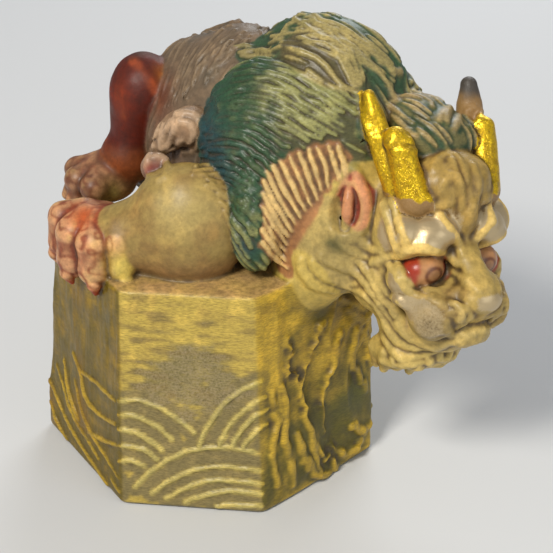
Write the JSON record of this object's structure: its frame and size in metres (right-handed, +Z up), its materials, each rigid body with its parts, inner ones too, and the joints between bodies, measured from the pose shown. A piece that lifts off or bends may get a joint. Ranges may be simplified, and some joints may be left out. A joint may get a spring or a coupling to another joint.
{
  "type": "foo dog statue",
  "caption": "Horned guardian-lion figure crouching on a hexagonal plinth with wave relief, its head hanging over one side, cold-painted ceramic.",
  "frame": {"origin": "centre of the plinth's underside", "axes": "+Z up, -Y out of the plinth's front face, +X towards the side the head hangs over"},
  "size_m": [0.1437, 0.1135, 0.1457],
  "materials": {
    "plinth_paint": "cold-painted ochre over grey, dry-brushed, semi-gloss",
    "body_paint": "cold-painted ochre and brown wash over grey, semi-gloss",
    "face_paint": "ochre and brown wash worn to a burnished grey on the high points",
    "mane_paint": "dark green and blue in the grooves, cream on the ridges",
    "ruff_paint": "red-brown grooves with pinkish cream ridges",
    "paw_paint": "pink and red-brown with yellow claws",
    "haunch_paint": "dark red-brown, glossy",
    "gilt": "crackled gold leaf",
    "eye_paint": "cream with a dark pupil and red corners, glossy"
  },
  "bodies": {
    "root": {"plinth": "plinth_paint", "torso": "body_paint", "neck": "body_paint", "foreleg_right": "body_paint", "foreleg_left": "body_paint", "tail": "body_paint", "head": "face_paint", "forehead": "face_paint", "muzzle": "face_paint", "lower_jaw": "face_paint", "beard": "face_paint", "brow_right": "face_paint", "brow_left": "face_paint", "forelock": "mane_paint", "mane_crest": "mane_paint", "mane_right": "mane_paint", "mane_left": "mane_paint", "cheek_ruff_right": "ruff_paint", "cheek_ruff_left": "ruff_paint", "ear_right": "ruff_paint", "ear_left": "ruff_paint", "horn_right": "gilt", "horn_left": "gilt", "eye_right": "eye_paint", "eye_left": "eye_paint", "fore_paw_right": "paw_paint", "fore_paw_left": "paw_paint", "hind_paw_right": "paw_paint", "hind_paw_left": "paw_paint", "hind_leg_right": "haunch_paint", "hind_leg_left": "haunch_paint", "shoulder_curl_right": "ruff_paint", "shoulder_curl_left": "ruff_paint"}
  },
  "joints": []
}
